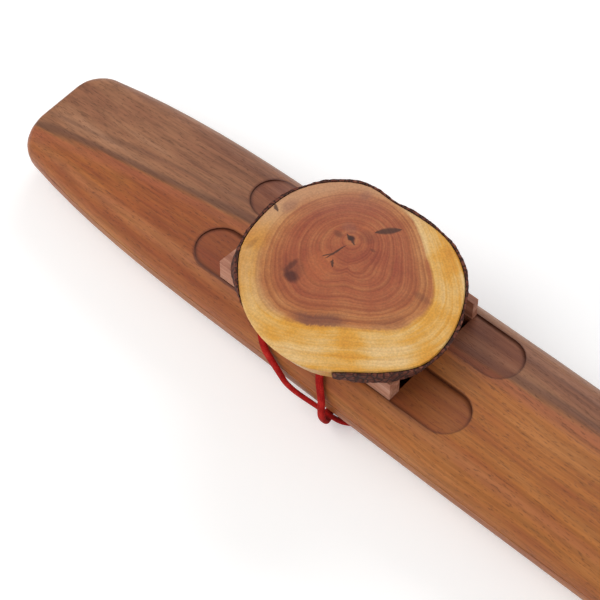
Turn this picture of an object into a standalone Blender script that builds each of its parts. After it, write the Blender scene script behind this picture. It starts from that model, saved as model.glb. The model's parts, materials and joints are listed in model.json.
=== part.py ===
"""A two-bore wooden flute with one wide block over both sound holes.

The body is two routed and glued halves. Each half of the body holds half of two air chambers and two
sound chambers, side by side. The block stands in two round-ended recesses, carries a slice of branch with
its bark, and is tied down with a flat lace that goes twice round the body.

Metres, +Z up, +X from the mouth end to the foot end. The origin is the middle of the flat underside.
"""

import math

import bmesh
import bpy
import numpy as np
from mathutils import Vector

# Body: outer size and how it narrows towards the mouth
BODY_LENGTH = 0.520
BODY_WIDTH = 0.0623
BODY_THICKNESS = 0.0275
EDGE_ROUND = 0.0114
MOUTH_WIDTH = 0.0422
MOUTH_TOP_DROP = 0.0076
MOUTH_BOTTOM_RISE = 0.0022
TAPER_LENGTH = 0.1122
TAPER_POWER = 3.0
DROP_POWER = 1.5
FLARE = 0.008
MOUTH_CORNER_WIDTH = 0.0071
MOUTH_CORNER_LENGTH = 0.0075
MOUTH_EDGE = 0.001
FOOT_EDGE = 0.002

# Clearance between pieces that touch
GAP = 0.0003

# Bores and chambers, measured from the mouth end
BORE_RADIUS = 0.0095
BORE_SPACING = 0.0283
AIR_CHAMBER_START = 0.052
AIR_CHAMBER_END = 0.1286
SOUND_CHAMBER_START = 0.1566
BREATH_HOLE_RADIUS = 0.00325
BREATH_HOLE_SPACING = 0.012

# Nest: two round-ended recesses over the bores, and what opens into them
NEST_FROM_MOUTH = 0.1426
SLOT_RADIUS = 0.009
SLOT_LENGTH = 0.1177
SLOT_DEPTH = 0.0014
FLUE_DEPTH = 0.001
FLUE_WIDTH = 0.0086
EXIT_FROM_NEST = -0.031
EXIT_LENGTH = 0.007
EXIT_WIDTH = 0.0078
WINDOW_FROM_NEST = 0.033
WINDOW_LENGTH = 0.0058
WINDOW_WIDTH = 0.0094
WINDOW_SHIFT = 0.0012
WINDOW_UNDERCUT = 0.004

# Finger holes over the near bore, measured from the splitting edge of its window
FINGER_HOLES = 6
FINGER_RADIUS = 0.004
FINGER_FIRST = 0.150
FINGER_PITCH = 0.026
HAND_GAP = 0.004

# Block: its soles stand in the recesses, and its front has a notch over each window
BLOCK_REAR_NEAR = -0.042
BLOCK_REAR_FAR = -0.0384
BLOCK_FRONT = 0.0334
BLOCK_HEIGHT = 0.008
BLOCK_BEVEL = 0.0004
NOTCH_CLEARANCE = 0.0002
NOTCH_REAR = 0.0064
NOTCH_CORNER = 0.002
GROOVE_WIDTH = 0.0042
FRONT_GROOVE = 0.005
REAR_GROOVE = -0.021
GROOVE_LIP = 0.0012

# Slice of branch: its middle is this far from the nest's middle
SLICE_X = 0.0
SLICE_Y = -0.0048
SLICE_THICKNESS = 0.0092
SLICE_EDGE = 0.0005
BARK_THICKNESS = 0.0009
BARK_ROUGHNESS = 0.0004
BARK_FROM = -58.0
BARK_TO = 235.0
BARK_LIP = 0.0004

# Radius of the slice's wood round its middle, in mm: (degrees from +X, upper face, lower face)
SLICE_RADII = (
    (0, 40.5, 37.2),
    (22, 39.0, 36.5),
    (44, 38.3, 37.0),
    (66, 37.1, 37.0),
    (88, 35.3, 35.6),
    (106, 35.8, 36.4),
    (122, 40.0, 40.4),
    (140, 41.4, 41.8),
    (158, 41.2, 42.2),
    (178, 39.3, 41.4),
    (200, 38.3, 40.8),
    (220, 36.7, 36.4),
    (242, 36.8, 33.0),
    (265, 37.2, 32.4),
    (290, 37.6, 33.2),
    (312, 36.4, 33.4),
    (329, 38.2, 35.2),
    (346, 41.0, 37.2),
)

# Lace: a flat strip, twice round the body and the block
LACE_WIDTH = 0.003
LACE_THICKNESS = 0.0018
LACE_STEP = 0.0008
LACE_FIT = 0.00006
LACE_REACH = 0.044

# The lace's way round: (degrees from +Z towards the near side, mm from the nest's middle, mm off the outline)
LACE_ROUTE = (
    (-85.4, 13.0, 0.9),
    (-76, 11.0, 0.3),
    (-66, 8.0, 0),
    (-50, 5.2, 0),
    (-47, 5, 0),
    (-20, 5, 0),
    (20, 5, 0),
    (47, 5, 0),
    (50, 5.2, 0),
    (69, 8, 0),
    (75, 9.2, 0),
    (80, 10.6, 0),
    (85, 12.1, 0.3),
    (90, 13.2, 1.4),
    (97, 13.8, 2.4),
    (106, 13.5, 2.5),
    (115, 11.6, 2.0),
    (126, 7.5, 0.6),
    (150, 2, 0),
    (180, -5, 0),
    (215, -12, 0),
    (245, -15, 0),
    (290, -18, 0),
    (310, -20.8, 0),
    (313, -21, 0),
    (340, -21, 0),
    (380, -21, 0),
    (407, -21, 0),
    (410, -20.5, 0),
    (428, -18.4, 0),
    (436, -16.0, 0),
    (441, -13.4, 0),
    (445.5, -10.2, 0),
    (450, -6.8, 0.2),
    (455, -3.2, 0.8),
    (458, 1.6, 0.8),
    (460, 6.4, 0.4),
    (462, 10.6, 0),
    (466, 14.2, 0),
    (472, 17.2, 0),
    (487, 21, 0),
    (515, 23.4, 0),
    (550, 23.8, 0),
    (580, 22, 0),
    (600, 19, 0),
    (611, 16.2, 0.4),
    (616.6, 15, 0.9),
)

# Knot: a plain overhand knot on the far side, between the lace's two ends
KNOT_X = 0.0135
KNOT_HEIGHT = 0.0121
KNOT_SIZE = 0.0013
KNOT_STRAND = 0.001
KNOT_TAIL = 0.009
KNOT_OPENING = 0.42
KNOT_STEPS = 44
TAIL_STEPS = 5

# Worked out from the sizes above
MOUTH_X = -BODY_LENGTH / 2
FOOT_X = BODY_LENGTH / 2
NEST_X = MOUTH_X + NEST_FROM_MOUTH
HALF_WIDTH = BODY_WIDTH / 2
SEAM_Z = BODY_THICKNESS / 2
TOP_Z = BODY_THICKNESS
FLOOR_Z = TOP_Z - SLOT_DEPTH
BORE_Y = BORE_SPACING / 2
SIDES = (-1, 1)
PAST = 0.004
FULL_WIDTH_FROM_MOUTH = NEST_FROM_MOUTH + SLOT_LENGTH / 2 + PAST
BLOCK_TOP_Z = TOP_Z + BLOCK_HEIGHT
SLICE_Z = BLOCK_TOP_Z + GAP
GROOVE_Z = BLOCK_TOP_Z - LACE_THICKNESS - GAP
LACE_OFFSET = GAP + LACE_THICKNESS / 2

# Steps of round stretches
EDGE_STEPS = 10
BORE_STEPS = 32
DOME_STEPS = 5
OUTLINE_STEPS = 72

COLOURS = {
    "body_top_half": (0.42, 0.20, 0.09),
    "body_bottom_half": (0.40, 0.19, 0.09),
    "bird_block": (0.50, 0.28, 0.20),
    "slice_wood": (0.75, 0.48, 0.22),
    "slice_bark": (0.13, 0.06, 0.04),
    "lace": (0.45, 0.02, 0.03),
    "lace_knot": (0.42, 0.02, 0.03),
}


def clear_scene():
    for obj in list(bpy.data.objects):
        bpy.data.objects.remove(obj, do_unlink=True)


def wood_material(name):
    material = bpy.data.materials.new(name)
    material.use_nodes = True
    shader = material.node_tree.nodes["Principled BSDF"]
    shader.inputs["Base Color"].default_value = (*COLOURS[name], 1.0)
    shader.inputs["Roughness"].default_value = 0.75 if name.startswith("lace") else 0.42
    shader.inputs["Metallic"].default_value = 0.0
    material.diffuse_color = (*COLOURS[name], 1.0)
    return material


def object_from(bm, name):
    """The object of a finished bmesh, its faces turned outwards."""
    bm.normal_update()
    bmesh.ops.recalc_face_normals(bm, faces=bm.faces)
    mesh = bpy.data.meshes.new(name)
    bm.to_mesh(mesh)
    bm.free()
    obj = bpy.data.objects.new(name, mesh)
    bpy.context.scene.collection.objects.link(obj)
    return obj


def finish(obj, smooth_angle=30.0):
    obj.data.materials.append(wood_material(obj.name))
    obj.data.shade_smooth()
    obj.data.set_sharp_from_angle(angle=math.radians(smooth_angle))
    return obj


def ring(bm, points):
    return [bm.verts.new(point) for point in points]


def join_rings(bm, first, second):
    count = len(first)
    for i in range(count):
        j = (i + 1) % count
        bm.faces.new((first[i], first[j], second[j], second[i]))


def loft(bm, rings):
    """A closed solid through rings of the same number of points."""
    made = [ring(bm, points) for points in rings]
    for first, second in zip(made, made[1:]):
        join_rings(bm, first, second)
    bm.faces.new(made[0])
    bm.faces.new(made[-1])
    return made


def make_cutter(bm, name):
    obj = object_from(bm, name)
    obj.hide_render = True
    obj.display_type = "WIRE"
    return obj


def cut(target, cutter):
    modifier = target.modifiers.new(cutter.name, "BOOLEAN")
    modifier.operation = "DIFFERENCE"
    modifier.solver = "EXACT"
    modifier.object = cutter


def prism(profile, thickness_axis, low, high):
    """A bmesh of a flat outline, given as pairs in the two other axes, pulled from low to high."""
    order = {"X": (1, 2), "Y": (0, 2), "Z": (0, 1)}[thickness_axis]
    along = "XYZ".index(thickness_axis)
    bm = bmesh.new()
    rings = []
    for level in (low, high):
        points = []
        for pair in profile:
            point = [0.0, 0.0, 0.0]
            point[order[0]], point[order[1]] = pair
            point[along] = level
            points.append(point)
        rings.append(points)
    loft(bm, rings)
    return bm


def turned_along_x(profile, y, z, steps=BORE_STEPS):
    """A bmesh of a profile of (x, radius) pairs turned round the line at y and z. Its ends lie on that line."""
    bm = bmesh.new()
    verts = ring(bm, [(x, y, z + radius) for x, radius in profile])
    edges = [bm.edges.new(pair) for pair in zip(verts, verts[1:])]
    bmesh.ops.spin(
        bm,
        geom=verts + edges,
        cent=(0, y, z),
        axis=(1, 0, 0),
        angle=2 * math.pi,
        steps=steps,
        use_merge=True,
    )
    bmesh.ops.remove_doubles(bm, verts=bm.verts, dist=1e-7)
    return bm


def dome(x, radius, towards):
    """The (x, radius) pairs of a round bore end whose tip is at x, from the tip outwards."""
    pairs = []
    for step in range(DOME_STEPS + 1):
        angle = math.pi / 2 * step / DOME_STEPS
        pairs.append((x + towards * radius * (1 - math.cos(angle)), radius * math.sin(angle)))
    return pairs


def section(x):
    """Half width, width of the rounded edge, upper and lower height of the body at x."""
    from_mouth = x - MOUTH_X
    share = max(0.0, 1 - from_mouth / TAPER_LENGTH)
    waist = HALF_WIDTH - FLARE * max(0.0, FULL_WIDTH_FROM_MOUTH - from_mouth)
    taper = HALF_WIDTH - FLARE * FULL_WIDTH_FROM_MOUTH - MOUTH_WIDTH / 2
    half = waist - taper * share**TAPER_POWER
    high = TOP_Z - MOUTH_TOP_DROP * share**DROP_POWER
    low = MOUTH_BOTTOM_RISE * share**DROP_POWER
    half -= rounded_off(from_mouth, MOUTH_CORNER_LENGTH, MOUTH_CORNER_WIDTH)
    to_foot = FOOT_X - x
    end_inset = rounded_off(from_mouth, MOUTH_EDGE, MOUTH_EDGE) + rounded_off(to_foot, FOOT_EDGE, FOOT_EDGE)
    half -= rounded_off(to_foot, FOOT_EDGE, FOOT_EDGE)
    high -= end_inset
    low += end_inset
    edge = min(EDGE_ROUND * (high - low) / BODY_THICKNESS, 0.9 * half)
    return half, edge, high, low


def rounded_off(distance, length, inset):
    """How far an elliptical rounding of that length and inset has cut in, at a distance from its end."""
    if distance >= length:
        return 0.0
    return inset * (1 - math.sqrt(1 - (1 - distance / length) ** 2))


def stations():
    """The places along the body that its shape needs."""
    mouth = [MOUTH_CORNER_LENGTH * (1 - math.cos(math.pi / 2 * k / 7)) for k in range(8)]
    taper_steps = 9
    first = MOUTH_CORNER_LENGTH
    taper = [first + (TAPER_LENGTH - first) * k / taper_steps for k in range(1, taper_steps + 1)]
    foot = [FOOT_EDGE * (1 - math.sin(math.pi / 2 * k / 3)) for k in range(4)]
    xs = [MOUTH_X + d for d in mouth + taper + [FULL_WIDTH_FROM_MOUTH]]
    return xs + [FOOT_X - d for d in reversed(sorted(foot))]


def half_ring(x, upper):
    """One station of a half: its flat joint and its rounded outside, as a closed ring."""
    half, edge, high, low = section(x)
    joint = SEAM_Z + (GAP / 2 if upper else -GAP / 2)
    rise = (high if upper else low) - joint
    points = []
    for side in (1, -1):
        arc = []
        for step in range(EDGE_STEPS + 1):
            angle = math.pi / 2 * step / EDGE_STEPS
            y = side * (half - edge + edge * math.cos(angle))
            arc.append((x, y, joint + rise * math.sin(angle)))
        points += arc if side == 1 else arc[::-1]
    return points


def body_half(name, upper):
    bm = bmesh.new()
    loft(bm, [half_ring(x, upper) for x in stations()])
    return object_from(bm, name)


def chamber_cutters():
    """Both air chambers, both sound chambers and both breath holes, which lie in the two halves alike."""
    cutters = []
    for side in SIDES:
        which = "near" if side < 0 else "far"
        y = side * BORE_Y
        start = MOUTH_X + AIR_CHAMBER_START
        end = MOUTH_X + AIR_CHAMBER_END
        profile = dome(start, BORE_RADIUS, 1) + dome(end, BORE_RADIUS, -1)[::-1]
        cutters.append(make_cutter(turned_along_x(profile, y, SEAM_Z), f"{which}_air_chamber"))
        start = MOUTH_X + SOUND_CHAMBER_START
        end = FOOT_X + PAST
        profile = dome(start, BORE_RADIUS, 1) + [(end, BORE_RADIUS), (end, 0.0)]
        cutters.append(make_cutter(turned_along_x(profile, y, SEAM_Z), f"{which}_sound_chamber"))
        cutters.append(breath_hole(side, which))
    return cutters


def breath_hole(side, which):
    """A straight hole from the mouth end into the round end of an air chamber."""
    inside = Vector((MOUTH_X + AIR_CHAMBER_START + BORE_RADIUS / 2, side * BORE_Y, SEAM_Z))
    outside = Vector((MOUTH_X, side * BREATH_HOLE_SPACING / 2, SEAM_Z))
    way = (outside - inside).normalized()
    outside += way * PAST
    bm = bmesh.new()
    bmesh.ops.create_cone(
        bm,
        cap_ends=True,
        segments=20,
        radius1=BREATH_HOLE_RADIUS,
        radius2=BREATH_HOLE_RADIUS,
        depth=(outside - inside).length,
    )
    turn = way.to_track_quat("Z", "Y").to_matrix().to_4x4()
    turn.translation = (outside + inside) / 2
    bm.transform(turn)
    return make_cutter(bm, f"{which}_breath_hole")


def slot_outline(half_length, radius, y, steps=14):
    """A round-ended slot in plan, as (x, y) pairs about the nest's middle."""
    pairs = []
    for side, start in ((1, -90), (-1, 90)):
        for step in range(steps + 1):
            angle = math.radians(start + 180 * step / steps)
            x = NEST_X + side * (half_length - radius) + radius * math.cos(angle)
            pairs.append((x, y + radius * math.sin(angle)))
    return pairs


def window_y(side):
    return side * BORE_Y + WINDOW_SHIFT


def nest_cutters():
    """The recesses, flues, exit holes and windows of the upper half."""
    cutters = []
    edge_x = NEST_X + WINDOW_FROM_NEST
    inside_z = SEAM_Z + BORE_RADIUS / 2
    exit_x = NEST_X + EXIT_FROM_NEST
    for side in SIDES:
        which = "near" if side < 0 else "far"
        y = window_y(side)
        outline = slot_outline(SLOT_LENGTH / 2, SLOT_RADIUS, side * BORE_Y)
        recess = prism(outline, "Z", FLOOR_Z, TOP_Z + PAST)
        cutters.append(make_cutter(recess, f"{which}_recess"))
        flue = [
            (exit_x + EXIT_LENGTH / 2, FLOOR_Z - FLUE_DEPTH),
            (edge_x - WINDOW_LENGTH / 2, FLOOR_Z - FLUE_DEPTH),
            (edge_x - WINDOW_LENGTH / 2, TOP_Z + PAST),
            (exit_x + EXIT_LENGTH / 2, TOP_Z + PAST),
        ]
        cutters.append(make_cutter(prism(flue, "Y", y - FLUE_WIDTH / 2, y + FLUE_WIDTH / 2), f"{which}_flue"))
        exit_hole = [
            (exit_x, inside_z),
            (exit_x + EXIT_LENGTH, inside_z),
            (exit_x + EXIT_LENGTH, TOP_Z + PAST),
            (exit_x, TOP_Z + PAST),
        ]
        cutters.append(make_cutter(prism(exit_hole, "Y", y - EXIT_WIDTH / 2, y + EXIT_WIDTH / 2), f"{which}_exit"))
        window = [
            (edge_x - WINDOW_LENGTH, inside_z),
            (edge_x + WINDOW_UNDERCUT, inside_z),
            (edge_x, FLOOR_Z),
            (edge_x, TOP_Z + PAST),
            (edge_x - WINDOW_LENGTH, TOP_Z + PAST),
        ]
        low, high = y - WINDOW_WIDTH / 2, y + WINDOW_WIDTH / 2
        cutters.append(make_cutter(prism(window, "Y", low, high), f"{which}_window"))
    return cutters


def finger_hole_places():
    edge_x = NEST_X + WINDOW_FROM_NEST
    upper_hand = FINGER_HOLES // 2
    return [edge_x + FINGER_FIRST + FINGER_PITCH * k + (HAND_GAP if k >= upper_hand else 0) for k in range(FINGER_HOLES)]


def finger_hole_cutters():
    cutters = []
    for number, x in enumerate(finger_hole_places()):
        bm = bmesh.new()
        low, high = SEAM_Z + BORE_RADIUS / 2, TOP_Z + PAST
        bmesh.ops.create_cone(
            bm,
            cap_ends=True,
            segments=24,
            radius1=FINGER_RADIUS,
            radius2=FINGER_RADIUS,
            depth=high - low,
        )
        bmesh.ops.translate(bm, verts=bm.verts, vec=(x, -BORE_Y, (low + high) / 2))
        cutters.append(make_cutter(bm, f"finger_hole_{number + 1}"))
    return cutters


def make_body():
    top = body_half("body_top_half", True)
    bottom = body_half("body_bottom_half", False)
    shared = chamber_cutters()
    for cutter in shared:
        cut(bottom, cutter)
    for cutter in shared + nest_cutters() + finger_hole_cutters():
        cut(top, cutter)
    finish(top)
    finish(bottom)


def block_profile():
    """The block's cross-section: two soles in the recesses and a relief over the ridge between them."""
    outer = BORE_Y + SLOT_RADIUS - GAP
    inner = BORE_Y - SLOT_RADIUS + GAP
    sole = FLOOR_Z + GAP
    relief = TOP_Z + GAP
    right = [(inner, relief), (inner, sole), (outer, sole), (outer, BLOCK_TOP_Z)]
    return [(-y, z) for y, z in right][::-1] + right


def make_block():
    bm = prism(block_profile(), "X", NEST_X + BLOCK_REAR_NEAR, NEST_X + BLOCK_FRONT)
    slant = BLOCK_REAR_FAR - BLOCK_REAR_NEAR
    width = 2 * (BORE_Y + SLOT_RADIUS - GAP)
    for vert in bm.verts:
        if vert.co.x < NEST_X:
            vert.co.x += slant * (vert.co.y + width / 2) / width
    block = object_from(bm, "bird_block")
    for side in SIDES:
        which = "near" if side < 0 else "far"
        cut(block, notch_cutter(side, which))
    for name, x in (("front_groove", FRONT_GROOVE), ("rear_groove", REAR_GROOVE)):
        cut(block, groove_cutter(name, NEST_X + x))
    bevel = block.modifiers.new("broken_edges", "BEVEL")
    bevel.width = BLOCK_BEVEL
    bevel.segments = 1
    bevel.limit_method = "ANGLE"
    bevel.angle_limit = math.radians(40)
    finish(block)


def notch_cutter(side, which):
    """A notch open to the front and above, with small round inner corners, as wide as the window."""
    half = WINDOW_WIDTH / 2 + NOTCH_CLEARANCE
    y = window_y(side)
    front = NEST_X + BLOCK_FRONT + PAST
    rear = NEST_X + BLOCK_FRONT - NOTCH_REAR
    pairs = [(front, y - half), (front, y + half)]
    for centre, start in ((y + half - NOTCH_CORNER, 90), (y - half + NOTCH_CORNER, 180)):
        for step in range(5):
            angle = math.radians(start + 90 * step / 4)
            pairs.append((rear + NOTCH_CORNER * (1 + math.cos(angle)), centre + NOTCH_CORNER * math.sin(angle)))
    return make_cutter(prism(pairs, "Z", FLOOR_Z - PAST, BLOCK_TOP_Z + PAST), f"{which}_notch")


def groove_cutter(name, x):
    """A lace groove right across the block's top, dipping over its two side edges."""
    outer = BORE_Y + SLOT_RADIUS - GAP
    profile = [(-outer - PAST, GROOVE_Z - GROOVE_LIP - PAST)]
    for side in (-1, 1):
        dip = [(side * (outer + PAST), GROOVE_Z - GROOVE_LIP - PAST)]
        for step in range(5):
            angle = math.pi / 2 * step / 4
            y = outer - GROOVE_LIP + GROOVE_LIP * math.cos(angle)
            dip.append((side * y, GROOVE_Z - GROOVE_LIP + GROOVE_LIP * math.sin(angle)))
        profile += dip[::-1] if side > 0 else dip[1:]
    profile += [(outer + PAST, BLOCK_TOP_Z + PAST), (-outer - PAST, BLOCK_TOP_Z + PAST)]
    return make_cutter(prism(profile, "X", x - GROOVE_WIDTH / 2, x + GROOVE_WIDTH / 2), name)


def round_curve(values, places, at, period):
    """A smooth closed curve through values at places, read at one place (Catmull-Rom)."""
    count = len(places)
    at = (at - places[0]) % period + places[0]
    k = max(i for i in range(count) if places[i] <= at)
    p = [(places[(k + j) % count] + period * ((k + j) // count), values[(k + j) % count]) for j in (-1, 0, 1, 2)]
    (x0, y0), (x1, y1), (x2, y2), (x3, y3) = p
    t = (at - x1) / (x2 - x1)
    slope1 = (y2 - y0) / (x2 - x0) * (x2 - x1)
    slope2 = (y3 - y1) / (x3 - x1) * (x2 - x1)
    return (
        (2 * t**3 - 3 * t**2 + 1) * y1
        + (t**3 - 2 * t**2 + t) * slope1
        + (3 * t**2 - 2 * t**3) * y2
        + (t**3 - t**2) * slope2
    )


def slice_radius(degrees, height):
    """The slice's wood at an angle, from its lower face (height 0) to its upper one (height 1)."""
    places = [row[0] for row in SLICE_RADII]
    upper = round_curve([row[1] for row in SLICE_RADII], places, degrees, 360)
    lower = round_curve([row[2] for row in SLICE_RADII], places, degrees, 360)
    return (lower + (upper - lower) * height) / 1000


def slice_point(degrees, radius, z):
    angle = math.radians(degrees)
    x = NEST_X + SLICE_X + radius * math.cos(angle)
    return (x, SLICE_Y + radius * math.sin(angle), z)


def make_slice():
    levels = (
        (0.0, SLICE_EDGE),
        (SLICE_EDGE / SLICE_THICKNESS, 0.0),
        (1 - SLICE_EDGE / SLICE_THICKNESS, 0.0),
        (1.0, SLICE_EDGE),
    )
    bm = bmesh.new()
    rings = []
    for height, inset in levels:
        points = []
        for step in range(OUTLINE_STEPS):
            degrees = 360 * step / OUTLINE_STEPS
            radius = slice_radius(degrees, height) - inset
            points.append(slice_point(degrees, radius, SLICE_Z + SLICE_THICKNESS * height))
        rings.append(points)
    loft(bm, rings)
    finish(object_from(bm, "slice_wood"))


def bark_skin(degrees, height):
    """Thickness of the bark, furrowed up and down the branch and thinned out at its two ends."""
    furrows = math.sin(math.radians(degrees * 9)) + 0.6 * math.sin(math.radians(degrees * 23 + 40))
    furrows += 0.4 * math.sin(math.radians(degrees * 14) + 5 * height)
    to_end = min(degrees - BARK_FROM, BARK_TO - degrees) / 12
    fade = min(1.0, 0.35 + 0.65 * to_end)
    return (BARK_THICKNESS + BARK_ROUGHNESS * furrows / 2) * fade


def make_bark():
    steps = int((BARK_TO - BARK_FROM) / 4)
    bottom = BARK_LIP
    top = SLICE_THICKNESS - BARK_LIP
    heights = [bottom + (top - bottom) * k / 3 for k in range(4)]
    bm = bmesh.new()
    rings = []
    for step in range(steps + 1):
        degrees = BARK_FROM + (BARK_TO - BARK_FROM) * step / steps
        inner, outer = [], []
        for height in heights:
            share = height / SLICE_THICKNESS
            radius = slice_radius(degrees, share) + GAP
            inner.append(slice_point(degrees, radius, SLICE_Z + height))
            outer.append(slice_point(degrees, radius + bark_skin(degrees, share), SLICE_Z + height))
        rings.append(inner + outer[::-1])
    loft(bm, rings)
    finish(object_from(bm, "slice_bark"), 50.0)


def convex_outline(points):
    """The convex outline of (y, z) points, anticlockwise."""
    points = sorted(set(points))

    def chain(items):
        kept = []
        for y, z in items:
            while len(kept) > 1:
                (y1, z1), (y2, z2) = kept[-2:]
                if (y2 - y1) * (z - z1) - (z2 - z1) * (y - y1) > 0:
                    break
                kept.pop()
            kept.append((y, z))
        return kept[:-1]

    return chain(points) + chain(points[::-1])


def lace_outline():
    """The middle line of a lace drawn round the body, where that is widest for it, and over the block's grooves."""
    points = []
    half = section(NEST_X + LACE_REACH)[0]
    steps = 6 * EDGE_STEPS
    for quarter in range(4):
        side = 1 if quarter in (0, 3) else -1
        above = 1 if quarter < 2 else -1
        for step in range(steps + 1):
            angle = math.pi / 2 * step / steps
            normal = Vector((math.cos(angle) / EDGE_ROUND, math.sin(angle) / SEAM_Z)).normalized()
            y = half - EDGE_ROUND + EDGE_ROUND * math.cos(angle) + LACE_OFFSET * normal.x
            z = SEAM_Z * math.sin(angle) + LACE_OFFSET * normal.y
            points.append((side * y, SEAM_Z + above * z))
    corner_y = BORE_Y + SLOT_RADIUS - GAP - GROOVE_LIP
    corner_z = GROOVE_Z - GROOVE_LIP
    for side in SIDES:
        for step in range(25):
            angle = math.pi / 2 * step / 24
            reach = GROOVE_LIP + LACE_OFFSET
            points.append((side * (corner_y + reach * math.cos(angle)), corner_z + reach * math.sin(angle)))
    return convex_outline(points)


def on_outline(outline, degrees):
    """The outline's point and outward normal in a direction, in degrees from +Z towards -Y."""
    angle = math.radians(degrees)
    way = Vector((-math.sin(angle), math.cos(angle)))
    for (y1, z1), (y2, z2) in zip(outline, outline[1:] + outline[:1]):
        a, b = Vector((y1, z1 - SEAM_Z)), Vector((y2, z2 - SEAM_Z))
        cross = way.x * (b - a).y - way.y * (b - a).x
        if abs(cross) < 1e-15:
            continue
        distance = (a.x * (b - a).y - a.y * (b - a).x) / cross
        share = (a.x * way.y - a.y * way.x) / cross
        if distance > 0 and -1e-9 <= share <= 1 + 1e-9:
            edge = (b - a).normalized()
            return way * distance, Vector((edge.y, -edge.x))
    raise ValueError(f"no outline at {degrees} degrees")


def open_curve(rows, at):
    """A smooth curve through rows of (place, value...), read at one place."""
    places = [row[0] for row in rows]
    k = min(max(i for i in range(len(rows)) if places[i] <= at), len(rows) - 2)
    low, high = max(k - 1, 0), min(k + 2, len(rows) - 1)
    x0, x1, x2, x3 = places[low], places[k], places[k + 1], places[high]
    t = (at - x1) / (x2 - x1)
    out = []
    for column in range(1, len(rows[0])):
        y0, y1, y2, y3 = rows[low][column], rows[k][column], rows[k + 1][column], rows[high][column]
        slope1 = (y2 - y0) / (x2 - x0) * (x2 - x1)
        slope2 = (y3 - y1) / (x3 - x1) * (x2 - x1)
        out.append(
            (2 * t**3 - 3 * t**2 + 1) * y1
            + (t**3 - 2 * t**2 + t) * slope1
            + (3 * t**2 - 2 * t**3) * y2
            + (t**3 - t**2) * slope2
        )
    return out


def lace_line():
    """Points along the lace's middle with the outward normal at each."""
    outline = lace_outline()

    def place(degrees, x, lift):
        flat, normal = on_outline(outline, degrees)
        y, z = flat + normal * lift / 1000
        point = Vector((NEST_X + x / 1000, y, SEAM_Z + z))
        return point, Vector((0, normal.x, normal.y))

    knots = [place(*row)[0] for row in LACE_ROUTE]
    along = [0.0]
    for a, b in zip(knots, knots[1:]):
        along.append(along[-1] + (b - a).length)
    rows = [(s, *row) for s, row in zip(along, LACE_ROUTE)]
    count = int(along[-1] / LACE_STEP)
    return [place(*open_curve(rows, along[-1] * k / count)) for k in range(count + 1)]


def thinned(line, within):
    """The line's own points, without those near the straight line between their neighbours."""
    keep = {0, len(line) - 1}
    todo = [(0, len(line) - 1)]
    places = np.array([point for point, _ in line])
    while todo:
        first, last = todo.pop()
        if last - first < 2:
            continue
        run = places[last] - places[first]
        rest = places[first + 1 : last] - places[first]
        share = np.clip(rest @ run / max(run @ run, 1e-18), 0, 1)
        away = np.linalg.norm(rest - share[:, None] * run, axis=1)
        worst = int(away.argmax())
        if away[worst] > within:
            middle = first + 1 + worst
            keep.add(middle)
            todo += [(first, middle), (middle, last)]
    return [line[k] for k in sorted(keep)]


def strip_section(width, thickness):
    """The lace's cross-section: a flat strip with rounded edges, as (across, outwards) pairs."""
    edge = thickness * 0.3
    w, t = width / 2, thickness / 2
    return [
        (w, t - edge),
        (w - edge, t),
        (edge - w, t),
        (-w, t - edge),
        (-w, edge - t),
        (edge - w, -t),
        (w - edge, -t),
        (w, edge - t),
    ]


def swept(line, profile):
    """A bmesh of a profile swept along points that each have an outward normal."""
    bm = bmesh.new()
    rings = []
    for k, (point, normal) in enumerate(line):
        before, after = line[max(k - 1, 0)][0], line[min(k + 1, len(line) - 1)][0]
        along = (after - before).normalized()
        across = along.cross(normal).normalized()
        out = across.cross(along).normalized()
        rings.append([point + across * a + out * b for a, b in profile])
    loft(bm, rings)
    return bm


def make_lace():
    bm = swept(thinned(lace_line(), LACE_FIT), strip_section(LACE_WIDTH, LACE_THICKNESS))
    finish(object_from(bm, "lace"), 50.0)


def knot_line():
    """An overhand knot lying flat against the body's far side, with its two tails towards the mouth."""
    far = HALF_WIDTH + GAP + KNOT_SIZE + KNOT_STRAND + GAP
    middle = Vector((NEST_X + KNOT_X, far, KNOT_HEIGHT))
    line = []
    for k in range(KNOT_STEPS + 1):
        t = math.pi + KNOT_OPENING + 2 * (math.pi - KNOT_OPENING) * k / KNOT_STEPS
        along = math.cos(t) - 2 * math.cos(2 * t)
        up = math.sin(t) + 2 * math.sin(2 * t)
        line.append(middle + KNOT_SIZE * Vector((along, -math.sin(3 * t), up)))
    return line


def knot_tail(end, before):
    """A free end that leaves the knot straight and droops."""
    way = (end - before).normalized()
    tail = []
    for k in range(1, TAIL_STEPS + 1):
        share = k / TAIL_STEPS
        hanging = Vector((-0.5, 0.0, -1.0)).normalized()
        step = way * (1 - share) + hanging * share
        end = end + Vector((step.x, 0.0, step.z)).normalized() * KNOT_TAIL / TAIL_STEPS
        tail.append(end)
    return tail


def make_knot():
    curve = bpy.data.curves.new("lace_knot", "CURVE")
    curve.dimensions = "3D"
    line = knot_line()
    points = knot_tail(line[0], line[1])[::-1] + line + knot_tail(line[-1], line[-2])
    spline = curve.splines.new("POLY")
    spline.points.add(len(points) - 1)
    for target, point in zip(spline.points, points):
        target.co = (*point, 1.0)
    curve.bevel_depth = KNOT_STRAND
    curve.bevel_resolution = 2
    curve.use_fill_caps = True
    obj = bpy.data.objects.new("lace_knot", curve)
    bpy.context.scene.collection.objects.link(obj)
    obj.data.materials.append(wood_material(obj.name))


def main():
    clear_scene()
    make_body()
    make_block()
    make_slice()
    make_bark()
    make_lace()
    make_knot()


main()
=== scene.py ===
"""Looks of the two-bore wooden flute: woods, bark, suede lace, soft studio light and the camera.

Metres, +Z up, +X from the mouth end to the foot end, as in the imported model.
"""

import json
import math

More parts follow.
